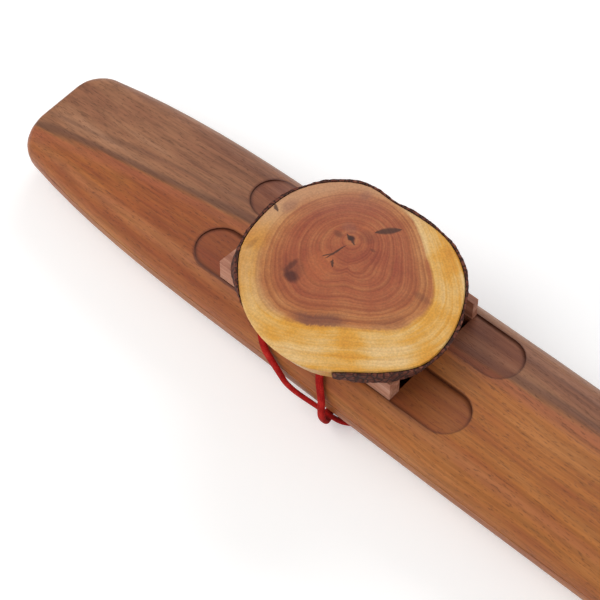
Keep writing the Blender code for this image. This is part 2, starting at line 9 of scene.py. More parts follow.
import bpy
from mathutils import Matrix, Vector


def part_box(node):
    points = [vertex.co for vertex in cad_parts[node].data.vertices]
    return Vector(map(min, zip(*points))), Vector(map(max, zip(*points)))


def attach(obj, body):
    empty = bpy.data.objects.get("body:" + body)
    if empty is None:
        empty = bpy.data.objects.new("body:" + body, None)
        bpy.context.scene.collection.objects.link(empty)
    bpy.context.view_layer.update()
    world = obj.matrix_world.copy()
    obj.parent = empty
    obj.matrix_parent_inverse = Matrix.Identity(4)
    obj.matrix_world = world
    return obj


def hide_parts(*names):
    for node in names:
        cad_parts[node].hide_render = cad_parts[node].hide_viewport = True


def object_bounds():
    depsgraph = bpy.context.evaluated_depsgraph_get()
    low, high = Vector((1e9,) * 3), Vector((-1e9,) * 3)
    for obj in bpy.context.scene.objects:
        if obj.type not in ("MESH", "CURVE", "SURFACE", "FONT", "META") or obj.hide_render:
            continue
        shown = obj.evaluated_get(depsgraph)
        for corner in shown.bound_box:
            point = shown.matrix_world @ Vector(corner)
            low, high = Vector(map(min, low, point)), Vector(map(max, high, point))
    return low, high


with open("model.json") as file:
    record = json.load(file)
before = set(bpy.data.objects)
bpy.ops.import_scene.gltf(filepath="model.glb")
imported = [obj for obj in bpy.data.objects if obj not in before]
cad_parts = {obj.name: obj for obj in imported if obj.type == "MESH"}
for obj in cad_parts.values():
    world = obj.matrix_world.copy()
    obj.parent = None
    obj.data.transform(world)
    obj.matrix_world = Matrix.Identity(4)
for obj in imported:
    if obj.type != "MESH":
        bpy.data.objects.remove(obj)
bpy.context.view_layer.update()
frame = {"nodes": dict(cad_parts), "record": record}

# Places on the flute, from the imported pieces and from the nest's middle
BLOCK_FRONT = 0.0334
NEST_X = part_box("bird_block")[1].x - BLOCK_FRONT
TOP_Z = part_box("body_top_half")[1].z
RECESS_DEPTH = 0.0014
RECESS_HALF_LENGTH = 0.05885
RECESS_RADIUS = 0.009
RECESS_SPACING = 0.0283

# The slice's heartwood: its middle, the pith's offset from it, its mean radius, and the waves of its outline,
# each with its count round the heart, height and phase
HEART_MIDDLE = (NEST_X - 0.0040, -0.0010, 0.0)
PITH_OFFSET = (-0.0063, 0.0095, 0.0)
HEART_REACH = 0.0293
HEART_WAVES = ((1, 0.00144, 2.57), (2, 0.00072, 0.04), (3, 0.00204, 0.12), (4, 0.00088, -0.41))
RING_COUNT = 25.0

# The stripe between the body's two woods, in plan from the nest's middle, up to where it runs level:
# y = start + slope * x - bend * x * x, swayed by the grain
STRIPE_START = 0.0065
STRIPE_SLOPE = 0.0932
STRIPE_BEND = 0.369
STRIPE_LEVEL_FROM = 0.126
STRIPE_WANDER = 0.007

# The dark lines in the stripe: how far past it, half width and strength
STRIPE_LINES = ((0.0012, 0.0026, 0.62), (0.0075, 0.0016, 0.32))

# The wood grain's patterns in cycles a metre, along X and across, and how far they sway
SWAY_CYCLES = (6, 14, 14)
SWAY_REACH = 0.012
BAND_CYCLES_ALONG = 4.0
STREAK_CYCLES_ALONG = 26.0
LINE_CYCLES = (24, 950, 950)
PORE_CYCLES = (380, 2600, 2600)
CLOUD_CYCLES = (22, 60, 60)

# Strength of the floor's glow where it is seen, and of the world as light on the flute and as seen
FLOOR_GLOW = 0.30
WORLD_FILL = 0.36
WORLD_SEEN = 1.0

# Camera: where it looks, from which side, how far off, and its lens on a 36 mm sensor
LOOK_AT = Vector((NEST_X - 0.01476, -0.01264, TOP_Z))
CAMERA_AZIMUTH = 41.47
CAMERA_ELEVATION = 55.11
CAMERA_DISTANCE = 0.777
CAMERA_LENS = 137.97


# Shader helpers
def place(tree, kind, settings=None, **inputs):
    """A new node with its settings, and each input set or linked. An underscore stands for a space."""
    made = tree.nodes.new(kind)
    for key, value in (settings or {}).items():
        setattr(made, key, value)
    for key, value in inputs.items():
        feed(tree, made.inputs[key.replace("_", " ")], value)
    return made


def feed(tree, socket, value):
    if isinstance(value, bpy.types.NodeSocket):
        tree.links.new(value, socket)
    else:
        socket.default_value = value


def maths(tree, operation, first, second=0.0):
    made = tree.nodes.new("ShaderNodeMath")
    made.operation = operation
    feed(tree, made.inputs[0], first)
    feed(tree, made.inputs[1], second)
    return made.outputs[0]


def plus(tree, first, second):
    return maths(tree, "ADD", first, second)


def minus(tree, first, second):
    return maths(tree, "SUBTRACT", first, second)


def times(tree, first, second):
    return maths(tree, "MULTIPLY", first, second)


def vector_maths(tree, operation, first, second=(0, 0, 0)):
    made = tree.nodes.new("ShaderNodeVectorMath")
    made.operation = operation
    feed(tree, made.inputs[0], first)
    feed(tree, made.inputs[1], second)
    return made.outputs["Value"] if operation in ("LENGTH", "DOT_PRODUCT") else made.outputs["Vector"]


def ranged(tree, value, low, high, to_low=0.0, to_high=1.0):
    made = place(tree, "ShaderNodeMapRange", {"interpolation_type": "SMOOTHSTEP"}, Value=value)
    made.inputs["From Min"].default_value = low
    made.inputs["From Max"].default_value = high
    made.inputs["To Min"].default_value = to_low
    made.inputs["To Max"].default_value = to_high
    return made.outputs["Result"]


def mixed(tree, factor, first, second, mode="MIX"):
    made = tree.nodes.new("ShaderNodeMix")
    made.data_type = "RGBA"
    made.blend_type = mode
    feed(tree, made.inputs[0], factor)
    feed(tree, made.inputs[6], first)
    feed(tree, made.inputs[7], second)
    return made.outputs[2]


def noise(tree, vector, scale, detail=2.0, rough=0.5):
    made = place(tree, "ShaderNodeTexNoise", Vector=vector, Scale=scale, Detail=detail, Roughness=rough)
    return made.outputs["Fac"]


def wobble(tree, vector, scale, reach, detail=2.0, rough=0.5):
    """Noise about zero, times a reach."""
    return times(tree, minus(tree, noise(tree, vector, scale, detail, rough), 0.5), reach)


def ramp(tree, factor, stops):
    made = place(tree, "ShaderNodeValToRGB", Fac=factor)
    elements = made.color_ramp.elements
    while len(elements) < len(stops):
        elements.new(0.5)
    for element, (position, colour) in zip(elements, stops):
        element.position = position
        element.color = (*colour, 1.0)
    return made.outputs["Color"]


def new_group(name, inputs, outputs):
    """A shader node group with its sockets. Returns the group with its input and output nodes."""
    tree = bpy.data.node_groups.new(name, "ShaderNodeTree")
    for label, kind, value in inputs:
        socket = tree.interface.new_socket(label, in_out="INPUT", socket_type=kind)
        if value is not None:
            socket.default_value = value
    for label, kind in outputs:
        tree.interface.new_socket(label, in_out="OUTPUT", socket_type=kind)
    return tree, tree.nodes.new("NodeGroupInput"), tree.nodes.new("NodeGroupOutput")


def use_group(tree, group, **inputs):
    return place(tree, "ShaderNodeGroup", {"node_tree": group}, **inputs)


def new_material(name):
    material = bpy.data.materials.new(name)
    material.use_nodes = True
    tree = material.node_tree
    shader = tree.nodes["Principled BSDF"]
    where = tree.nodes.new("ShaderNodeTexCoord").outputs["Object"]
    return material, tree, shader, where


def bumped(tree, shader, height, strength, distance):
    bump = place(tree, "ShaderNodeBump", Height=height, Strength=strength, Distance=distance)
    tree.links.new(bump.outputs["Normal"], shader.inputs["Normal"])


def any_ray(tree, *kinds):
    """1 on rays of the named kinds, 0 on others."""
    path = tree.nodes.new("ShaderNodeLightPath")
    found = path.outputs[kinds[0]]
    for kind in kinds[1:]:
        found = maths(tree, "MAXIMUM", found, path.outputs[kind])
    return found


# Effects that several materials share
def make_wood_grain():
    """Grain that runs along X: broad bands, fine streaks, long thin lines and short dark pores."""
    tree, start, end = new_group(
        "wood_grain",
        [
            ("Vector", "NodeSocketVector", None),
            ("Band Scale", "NodeSocketFloat", 70.0),
            ("Streak Scale", "NodeSocketFloat", 700.0),
            ("Pore Limit", "NodeSocketFloat", 0.6),
        ],
        [
            ("Bands", "NodeSocketFloat"),
            ("Streaks", "NodeSocketFloat"),
            ("Lines", "NodeSocketFloat"),
            ("Pores", "NodeSocketFloat"),
        ],
    )
    vector = start.outputs["Vector"]
    sway_at = vector_maths(tree, "MULTIPLY", vector, SWAY_CYCLES)
    sway = wobble(tree, sway_at, 1.0, SWAY_REACH)
    sideways = place(tree, "ShaderNodeCombineXYZ", Y=sway, Z=sway).outputs["Vector"]
    swayed = vector_maths(tree, "ADD", vector, sideways)
    band_size = place(tree, "ShaderNodeCombineXYZ", X=BAND_CYCLES_ALONG, Y=start.outputs["Band Scale"])
    tree.links.new(start.outputs["Band Scale"], band_size.inputs["Z"])
    band_at = vector_maths(tree, "MULTIPLY", swayed, band_size.outputs["Vector"])
    bands = noise(tree, band_at, 1.0, 3.0)
    streak_size = place(tree, "ShaderNodeCombineXYZ", X=STREAK_CYCLES_ALONG, Y=start.outputs["Streak Scale"])
    tree.links.new(start.outputs["Streak Scale"], streak_size.inputs["Z"])
    streak_at = vector_maths(tree, "MULTIPLY", swayed, streak_size.outputs["Vector"])
    streaks = noise(tree, streak_at, 1.0, 4.0, 0.6)
    line_at = vector_maths(tree, "MULTIPLY", swayed, LINE_CYCLES)
    lines = ranged(tree, noise(tree, line_at, 1.0, 2.0, 0.7), 0.56, 0.68)
    pore_at = vector_maths(tree, "MULTIPLY", swayed, PORE_CYCLES)
    pores = minus(tree, noise(tree, pore_at, 1.0, 1.0), start.outputs["Pore Limit"])
    pores = ranged(tree, pores, 0.0, 0.08)
    tree.links.new(bands, end.inputs["Bands"])
    tree.links.new(streaks, end.inputs["Streaks"])
    tree.links.new(lines, end.inputs["Lines"])
    tree.links.new(pores, end.inputs["Pores"])
    return tree


def make_growth_rings():
    """How far out a place lies, 0 at the pith and 1 at the heartwood's edge, and the dark ring lines."""
    tree, start, end = new_group(
        "growth_rings",
        [("Vector", "NodeSocketVector", None), ("Ring Count", "NodeSocketFloat", RING_COUNT)],
        [("Rings", "NodeSocketFloat"), ("Level", "NodeSocketFloat"), ("Angle", "NodeSocketFloat")],
    )
    away = vector_maths(tree, "SUBTRACT", start.outputs["Vector"], HEART_MIDDLE)
    away = vector_maths(tree, "MULTIPLY", away, (1, 1, 0))
    parts = place(tree, "ShaderNodeSeparateXYZ", Vector=away)
    angle = maths(tree, "ARCTAN2", parts.outputs["Y"], parts.outputs["X"])
    reach = HEART_REACH
    for count, height, phase in HEART_WAVES:
        turned = minus(tree, times(tree, angle, float(count)), phase)
        wave = times(tree, maths(tree, "COSINE", turned), height)
        reach = plus(tree, wave, reach)
    # Outlines that shrink evenly from the heartwood's edge to the pith, which lies off its middle
    from_pith = vector_maths(tree, "SUBTRACT", away, PITH_OFFSET)
    lean = vector_maths(tree, "DOT_PRODUCT", from_pith, PITH_OFFSET)
    room = minus(tree, times(tree, reach, reach), Vector(PITH_OFFSET).length_squared)
    square = vector_maths(tree, "DOT_PRODUCT", from_pith, from_pith)
    root = plus(tree, times(tree, lean, lean), times(tree, square, room))
    level = maths(tree, "DIVIDE", plus(tree, lean, maths(tree, "SQRT", root)), room)
    rough_level = plus(tree, level, wobble(tree, away, 60.0, 0.07))
    rough_level = plus(tree, rough_level, wobble(tree, away, 420.0, 0.010))
    turns = times(tree, rough_level, start.outputs["Ring Count"])
    spread = noise(tree, place(tree, "ShaderNodeCombineXYZ", X=turns).outputs["Vector"], 0.45, 1.0)
    turns = plus(tree, turns, times(tree, spread, 2.5))
    which = place(tree, "ShaderNodeCombineXYZ", X=maths(tree, "FLOOR", turns)).outputs["Vector"]
    strength = ranged(tree, noise(tree, which, 3.1), 0.35, 0.65, 0.25, 1.0)
    line = ranged(tree, maths(tree, "FRACT", turns), 0.35, 0.95)
    tree.links.new(times(tree, line, strength), end.inputs["Rings"])
    tree.links.new(rough_level, end.inputs["Level"])
    tree.links.new(angle, end.inputs["Angle"])
    return tree


def make_round_spot():
    """A soft-edged round mask about a place in plan."""
    tree, start, end = new_group(
        "round_spot",
        [
            ("Vector", "NodeSocketVector", None),
            ("Middle", "NodeSocketVector", (0, 0, 0)),
            ("Reach", "NodeSocketVector", (0.005, 0.005, 1.0)),
        ],
        [("Mask", "NodeSocketFloat")],
    )
    away = vector_maths(tree, "SUBTRACT", start.outputs["Vector"], start.outputs["Middle"])
    away = vector_maths(tree, "MULTIPLY", away, (1, 1, 0))
    share = vector_maths(tree, "LENGTH", vector_maths(tree, "DIVIDE", away, start.outputs["Reach"]))
    ragged = noise(tree, start.outputs["Vector"], 400.0)
    share = plus(tree, share, times(tree, ragged, 0.5))
    tree.links.new(ranged(tree, share, 0.7, 1.4, 1.0, 0.0), end.inputs["Mask"])
    return tree


def make_drying_crack():
    """A thin dark line between two places in plan, wavy and pointed at its ends."""
    tree, start, end = new_group(
        "drying_crack",
        [
            ("Vector", "NodeSocketVector", None),
            ("From", "NodeSocketVector", (0, 0, 0)),
            ("To", "NodeSocketVector", (0, 0, 0)),
            ("Half Width", "NodeSocketFloat", 0.0003),
        ],
        [("Mask", "NodeSocketFloat")],
    )
    flat = vector_maths(tree, "MULTIPLY", start.outputs["Vector"], (1, 1, 0))
    wave = wobble(tree, flat, 500.0, 0.0012)
    sideways = place(tree, "ShaderNodeCombineXYZ", X=wave, Y=wave).outputs["Vector"]
    flat = vector_maths(tree, "ADD", flat, sideways)
    run = vector_maths(tree, "SUBTRACT", start.outputs["To"], start.outputs["From"])
    way = vector_maths(tree, "SUBTRACT", flat, start.outputs["From"])
    square = vector_maths(tree, "DOT_PRODUCT", run, run)
    share = maths(tree, "DIVIDE", vector_maths(tree, "DOT_PRODUCT", way, run), square)
    share = maths(tree, "MAXIMUM", maths(tree, "MINIMUM", share, 1.0), 0.0)
    scaled = tree.nodes.new("ShaderNodeVectorMath")
    scaled.operation = "SCALE"
    tree.links.new(run, scaled.inputs[0])
    tree.links.new(share, scaled.inputs["Scale"])
    distance = vector_maths(tree, "LENGTH", vector_maths(tree, "SUBTRACT", way, scaled.outputs["Vector"]))
    swell = times(tree, times(tree, share, minus(tree, 1.0, share)), 4.0)
    width = times(tree, plus(tree, swell, 0.15), start.outputs["Half Width"])
    ratio = maths(tree, "DIVIDE", distance, width)
    tree.links.new(ranged(tree, ratio, 0.6, 1.5, 1.0, 0.0), end.inputs["Mask"])
    return tree


def make_recess_edge():
    """How far a place in plan lies outside the outline of the nearer recess, in metres."""
    tree, start, end = new_group(
        "recess_edge",
        [("Vector", "NodeSocketVector", None)],
        [("Distance", "NodeSocketFloat")],
    )
    parts = place(tree, "ShaderNodeSeparateXYZ", Vector=start.outputs["Vector"])
    along = maths(tree, "ABSOLUTE", minus(tree, parts.outputs["X"], NEST_X))
    along = maths(tree, "MAXIMUM", minus(tree, along, RECESS_HALF_LENGTH - RECESS_RADIUS), 0.0)
    across = minus(tree, maths(tree, "ABSOLUTE", parts.outputs["Y"]), RECESS_SPACING / 2)
    middle = place(tree, "ShaderNodeCombineXYZ", X=along, Y=across).outputs["Vector"]
    distance = minus(tree, vector_maths(tree, "LENGTH", middle), RECESS_RADIUS)
    tree.links.new(distance, end.inputs["Distance"])
    return tree


WOOD_GRAIN = make_wood_grain()
GROWTH_RINGS = make_growth_rings()
ROUND_SPOT = make_round_spot()
DRYING_CRACK = make_drying_crack()
RECESS_EDGE = make_recess_edge()


# Materials
def toned(tree, colour, value, low, high, dark, light):
    """The colour made darker and lighter by a value that runs from low to high."""
    shade = ranged(tree, value, low, high, dark, light)
    grey = place(tree, "ShaderNodeCombineColor", Red=shade, Green=shade, Blue=shade).outputs[0]
    return mixed(tree, 1.0, colour, grey, "MULTIPLY")


def two_woods(tree, where, bands):
    """The near bore's wood and the far one's greyer one, and how far a place lies past their stripe."""
    clouds = noise(tree, vector_maths(tree, "MULTIPLY", where, CLOUD_CYCLES), 1.0, 3.0, 0.6)
    figure = plus(tree, times(tree, bands, 0.6), times(tree, clouds, 0.4))
    near = ramp(
        tree,
        figure,
        [
            (0.34, (0.285, 0.072, 0.026)),
            (0.45, (0.350, 0.105, 0.030)),
            (0.54, (0.400, 0.138, 0.034)),
            (0.66, (0.470, 0.185, 0.055)),
        ],
    )
    far = ramp(
        tree,
        figure,
        [
            (0.34, (0.205, 0.080, 0.044)),
            (0.45, (0.275, 0.112, 0.058)),
            (0.55, (0.330, 0.146, 0.074)),
            (0.67, (0.390, 0.190, 0.105)),
        ],
    )
    parts = place(tree, "ShaderNodeSeparateXYZ", Vector=where)
    along = maths(tree, "MINIMUM", minus(tree, parts.outputs["X"], NEST_X), STRIPE_LEVEL_FROM)
    stripe = minus(tree, STRIPE_SLOPE, times(tree, along, STRIPE_BEND))
    stripe = plus(tree, times(tree, stripe, along), STRIPE_START)
    past = minus(tree, parts.outputs["Y"], stripe)
    past = plus(tree, past, times(tree, minus(tree, bands, 0.5), STRIPE_WANDER))
    return mixed(tree, ranged(tree, past, -0.003, 0.003), near, far), past


def striped(tree, colour, past):
    """The colour with a reddish line just short of the stripe and the dark lines in it."""
    red_line = times(tree, ranged(tree, past, -0.008, -0.003), ranged(tree, past, -0.002, 0.0, 1.0, 0.0))
    colour = mixed(tree, times(tree, red_line, 0.6), colour, (0.330, 0.095, 0.050, 1.0))
    for middle, half_width, strength in STRIPE_LINES:
        side = maths(tree, "ABSOLUTE", minus(tree, past, middle))
        dark_line = ranged(tree, side, 0.2 * half_width, half_width, strength, 0.0)
        colour = mixed(tree, dark_line, colour, (0.105, 0.047, 0.034, 1.0))
    return colour


def with_painted_recess_shade(tree, where, colour):
    """The colour with recess floors made darker and redder (painted shade in the recesses, with the cut
    floor's redder tone), darker corners (painted shade, with oil and dust) and a dark line round each recess
    (painted shade at the walls, with oil and dust).
    """
    height = place(tree, "ShaderNodeSeparateXYZ", Vector=where).outputs["Z"]
    below = ranged(tree, height, TOP_Z - RECESS_DEPTH, TOP_Z - 0.0006, 1.0, 0.0)
    outside = use_group(tree, RECESS_EDGE, Vector=where).outputs["Distance"]
    recess_floor_shade_mask = times(tree, below, ranged(tree, outside, 0.0004, 0.0010, 1.0, 0.0))
    # Painted shade: the recess floors are darkened, and tinted towards the cut floor's redder tone
    colour = mixed(tree, times(tree, recess_floor_shade_mask, 0.42), colour, (0.200, 0.046, 0.024, 1.0))
    # Painted shade in the recess corners by the walls, together with oil and dust gathered there
    corner = ranged(tree, outside, -0.0016, -0.0001, 0.0, 0.55)
    colour = mixed(tree, times(tree, recess_floor_shade_mask, corner), colour, (0.060, 0.016, 0.010, 1.0))
    # Painted shade along the recess walls, with oil and dust: a dark line round each recess
    rim_shade = ranged(tree, maths(tree, "ABSOLUTE", outside), 0.0, 0.0005, 0.5, 0.0)
    rim_shade = times(tree, rim_shade, maths(tree, "GREATER_THAN", height, TOP_Z - 0.0020))
    return mixed(tree, rim_shade, colour, (0.070, 0.020, 0.012, 1.0))


def oiled_walnut():
    """The body's two woods, with grain lines that are stronger on the far bore."""
    material, tree, shader, where = new_material("oiled_walnut")
    grain = use_group(tree, WOOD_GRAIN, Vector=where, Band_Scale=130.0, Streak_Scale=900.0, Pore_Limit=0.60)
    streaks = grain.outputs["Streaks"]
    colour, past = two_woods(tree, where, grain.outputs["Bands"])
    colour = striped(tree, colour, past)
    colour = toned(tree, colour, streaks, 0.34, 0.66, 0.86, 1.14)
    line_mask = times(tree, grain.outputs["Lines"], ranged(tree, past, -0.004, 0.004, 0.16, 0.42))
    colour = mixed(tree, line_mask, colour, (0.100, 0.040, 0.024, 1.0))
    pore_mask = times(tree, grain.outputs["Pores"], 0.45)
    colour = mixed(tree, pore_mask, colour, (0.085, 0.028, 0.012, 1.0))
    tree.links.new(with_painted_recess_shade(tree, where, colour), shader.inputs["Base Color"])
    tree.links.new(ranged(tree, streaks, 0.3, 0.7, 0.50, 0.40), shader.inputs["Roughness"])
    shader.inputs["Specular IOR Level"].default_value = 0.24
    height = minus(tree, times(tree, streaks, 0.4), grain.outputs["Pores"])
    height = minus(tree, height, times(tree, grain.outputs["Lines"], 0.5))
    bumped(tree, shader, height, 0.30, 0.00010)
    return material


def bare_block_wood():
    """The block: light, pinkish, with layered lines along it."""
    material, tree, shader, where = new_material("bare_block_wood")
    grain = use_group(tree, WOOD_GRAIN, Vector=where, Band_Scale=260.0, Streak_Scale=1500.0, Pore_Limit=0.60)
    bands, streaks = grain.outputs["Bands"], grain.outputs["Streaks"]
    figure = plus(tree, times(tree, bands, 0.65), times(tree, streaks, 0.35))
    colour = ramp(
        tree,
        figure,
        [
            (0.32, (0.230, 0.070, 0.035)),
            (0.46, (0.400, 0.150, 0.085)),
            (0.58, (0.560, 0.260, 0.165)),
            (0.74, (0.700, 0.420, 0.310)),
        ],
    )
    pore_mask = times(tree, grain.outputs["Pores"], 0.35)
    colour = mixed(tree, pore_mask, colour, (0.200, 0.085, 0.050, 1.0))
    tree.links.new(colour, shader.inputs["Base Color"])
    tree.links.new(ranged(tree, streaks, 0.3, 0.7, 0.62, 0.48), shader.inputs["Roughness"])
    bumped(tree, shader, streaks, 0.3, 0.00012)
    return material


# Drying cracks on the slice: from, to and half width, in metres from the nest's middle
CRACKS = (
    ((-0.0060, 0.0156), (-0.0002, 0.0224), 0.00105),
    ((-0.0098, 0.0052), (-0.0116, -0.0036), 0.00032),
    ((-0.0112, -0.0004), (-0.0130, -0.0036), 0.00020),
    ((-0.0098, -0.0022), (-0.0074, -0.0048), 0.00034),
    ((-0.0128, 0.0090), (-0.0078, 0.0072), 0.00050),
    ((-0.0400, 0.0026), (-0.0364, 0.0006), 0.00060),
)

# Marks on the slice: middle from the nest's middle, reach along and across, strength and colour
CRACK_BLACK = (0.050, 0.020, 0.014, 1.0)
BAND_PURPLE = (0.140, 0.050, 0.040, 1.0)
DARK_KNOT = (0.060, 0.014, 0.012, 1.0)
BROWN_MARK = (0.150, 0.040, 0.022, 1.0)
GREY_MARK = (0.260, 0.105, 0.072, 1.0)
WARM_MARK = (0.470, 0.130, 0.045, 1.0)
SPOTS = (
    ((-0.0110, -0.0070), (0.0062, 0.0080), 0.45, WARM_MARK),
    ((-0.0088, 0.0150), (0.0030, 0.0022), 0.30, WARM_MARK),
    ((-0.0165, -0.0140), (0.0046, 0.0046), 0.45, BROWN_MARK),
    ((-0.0152, -0.0165), (0.0034, 0.0026), 0.80, DARK_KNOT),
    ((-0.0182, -0.0130), (0.0012, 0.0036), 0.55, DARK_KNOT),
    ((-0.0104, 0.0086), (0.0015, 0.0012), 0.95, DARK_KNOT),
    ((-0.0148, 0.0069), (0.0022, 0.0015), 0.65, BROWN_MARK),
    ((-0.0138, 0.0114), (0.0034, 0.0024), 0.35, GREY_MARK),
    ((-0.0068, 0.0125), (0.0034, 0.0030), 0.30, BROWN_MARK),
    ((-0.0018, 0.0094), (0.0012, 0.0007), 0.70, BROWN_MARK),
    ((0.0228, 0.0054), (0.0044, 0.0016), 0.40, BROWN_MARK),
    ((-0.0350, 0.0050), (0.0026, 0.0040), 0.50, GREY_MARK),
    ((-0.0340, -0.0150), (0.0012, 0.0034), 0.30, BROWN_MARK),
    ((-0.0186, 0.0255), (0.0024, 0.0024), 0.45, GREY_MARK),
)

# Dark bands inside the heartwood's edge: middle from the nest's middle, reach and strength
DARK_BANDS = (((0.0030, -0.0235), 0.0098, 0.62), ((0.0215, -0.0100), 0.0070, 0.20))


def from_nest(spot):
    """A place in plan, given from the nest's middle, as a socket's value."""
    return (NEST_X + spot[0], spot[1], 0.0)


def heartwood(tree, mottled, level, rings):
    """Red wood, more orange near its edge, with dark ring lines."""
    inner = ramp(
        tree,
        mottled,
        [
            (0.32, (0.275, 0.058, 0.030)),
            (0.44, (0.330, 0.078, 0.034)),
            (0.54, (0.390, 0.110, 0.044)),
            (0.68, (0.470, 0.170, 0.064)),
        ],
    )
    outer = ramp(
        tree,
        mottled,
        [
            (0.34, (0.360, 0.100, 0.034)),
            (0.48, (0.470, 0.175, 0.055)),
            (0.62, (0.580, 0.265, 0.095)),
        ],
    )
    colour = mixed(tree, ranged(tree, level, 0.66, 0.96, 0.0, 0.85), inner, outer)
    return mixed(tree, times(tree, rings, 0.42), colour, (0.165, 0.034, 0.014, 1.0))


def sapwood(tree, where, x, far_side, tones, rings):
    """Yellow wood with golden patches, browner on its left, and paled towards grey on its far side by a
    painted reflection haze.
    """
    gold = plus(tree, times(tree, noise(tree, where, 62.0, 2.0), 0.6), times(tree, tones, 0.4))
    colour = ramp(
        tree,
        gold,
        [
            (0.40, (0.760, 0.500, 0.215)),
            (0.48, (0.730, 0.430, 0.130)),
            (0.55, (0.700, 0.340, 0.050)),
            (0.66, (0.640, 0.270, 0.030)),
        ],
    )
    left = ranged(tree, x, NEST_X - 0.034, NEST_X - 0.012, 0.55, 0.0)
    colour = mixed(tree, left, colour, (0.520, 0.220, 0.055, 1.0))
    # Painted reflection haze: the far side is paled and greyed
    far = ranged(tree, far_side, 0.018, 0.042, 0.0, 0.80)
    colour = mixed(tree, far, colour, (0.600, 0.340, 0.180, 1.0))
    return mixed(tree, times(tree, rings, 0.30), colour, (0.480, 0.180, 0.028, 1.0))


def spot_mask(tree, where, middle, reach):
    spot = use_group(tree, ROUND_SPOT, Vector=where, Middle=from_nest(middle), Reach=(*reach, 1.0))
    return spot.outputs["Mask"]


def marked(tree, where, colour, edge, angle):
    """The colour with dark bands inside the heartwood's edge, then knots and stains, then drying cracks."""
    bristle_at = place(tree, "ShaderNodeCombineXYZ", X=times(tree, angle, 26.0)).outputs["Vector"]
    band_level = plus(tree, edge, wobble(tree, bristle_at, 1.0, 0.16, 3.0, 0.8))
    inner_side = ranged(tree, band_level, 0.84, 0.90)
    outer_side = ranged(tree, band_level, 0.985, 1.01, 1.0, 0.0)
    band = times(tree, inner_side, outer_side)
    for middle, reach, strength in DARK_BANDS:
        mask = times(tree, spot_mask(tree, where, middle, (reach, reach)), band)
        colour = mixed(tree, times(tree, mask, strength), colour, BAND_PURPLE)
    for middle, reach, strength, mark in SPOTS:
        mask = spot_mask(tree, where, middle, reach)
        colour = mixed(tree, times(tree, mask, strength), colour, mark)
    for first, last, half_width in CRACKS:
        crack = use_group(tree, DRYING_CRACK, Vector=where, Half_Width=half_width)
        crack.inputs["From"].default_value = from_nest(first)
        crack.inputs["To"].default_value = from_nest(last)
        colour = mixed(tree, times(tree, crack.outputs["Mask"], 0.85), colour, CRACK_BLACK)
    return colour


def varnished_slice():
    """The branch's cut face: ringed red heartwood in yellow sapwood, with its knots and cracks."""
    material, tree, shader, where = new_material("varnished_slice")
    ringed = use_group(tree, GROWTH_RINGS, Vector=where)
    rings, level = ringed.outputs["Rings"], ringed.outputs["Level"]
    parts = place(tree, "ShaderNodeSeparateXYZ", Vector=where)
    x = parts.outputs["X"]
    far_side = minus(tree, parts.outputs["Y"], minus(tree, x, NEST_X))
    blotch = noise(tree, where, 75.0, 4.0, 0.6)
    fibres = noise(tree, vector_maths(tree, "MULTIPLY", where, (1, 1, 0.05)), 1500.0, 3.0)
    ring_at = place(tree, "ShaderNodeCombineXYZ", X=times(tree, level, 16.0)).outputs["Vector"]
    ring_at = vector_maths(tree, "ADD", ring_at, vector_maths(tree, "MULTIPLY", where, (26, 26, 0)))
    tones = noise(tree, ring_at, 1.0, 3.0, 0.6)
    mottled = plus(tree, times(tree, blotch, 0.45), times(tree, tones, 0.55))
    heart = heartwood(tree, mottled, level, rings)
    sap = sapwood(tree, where, x, far_side, tones, rings)
    edge = plus(tree, level, times(tree, minus(tree, blotch, 0.5), 0.10))
    soft = ranged(tree, x, NEST_X - 0.020, NEST_X + 0.002, 0.11, 0.025)
    share = maths(tree, "DIVIDE", minus(tree, edge, 1.0), soft)
    colour = mixed(tree, ranged(tree, share, -1.0, 1.0), heart, sap)
    shaded = ranged(tree, far_side, 0.026, 0.052, 0.0, 0.45)
    colour = mixed(tree, shaded, colour, (0.430, 0.190, 0.120, 1.0))
    colour = marked(tree, where, colour, edge, ringed.outputs["Angle"])
    colour = toned(tree, colour, fibres, 0.3, 0.7, 0.90, 1.10)
    tree.links.new(colour, shader.inputs["Base Color"])
    tree.links.new(ranged(tree, fibres, 0.3, 0.7, 0.42, 0.32), shader.inputs["Roughness"])
    shader.inputs["Specular IOR Level"].default_value = 0.30
    height = minus(tree, times(tree, fibres, 0.4), times(tree, rings, 0.3))
    bumped(tree, shader, height, 0.25, 0.00010)
    return material


def rough_bark():
    """Dark red bark, split into flakes."""
    material, tree, shader, where = new_material("rough_bark")
    stretched = vector_maths(tree, "MULTIPLY", where, (1, 1, 0.35))
    coarse = noise(tree, stretched, 520.0, 5.0, 0.65)
    to_edge = {"feature": "DISTANCE_TO_EDGE"}
    flakes = place(tree, "ShaderNodeTexVoronoi", to_edge, Vector=stretched, Scale=420.0)
    split = ranged(tree, flakes.outputs["Distance"], 0.02, 0.16)
    colour = ramp(
        tree,
        coarse,
        [
            (0.32, (0.060, 0.012, 0.006)),
            (0.48, (0.120, 0.026, 0.012)),
            (0.62, (0.185, 0.056, 0.030)),
            (0.76, (0.300, 0.140, 0.090)),
        ],
    )
    colour = mixed(tree, minus(tree, 1.0, split), colour, (0.036, 0.008, 0.004, 1.0))
    tree.links.new(colour, shader.inputs["Base Color"])
    shader.inputs["Roughness"].default_value = 0.88
    bumped(tree, shader, plus(tree, coarse, split), 0.8, 0.0005)
    return material


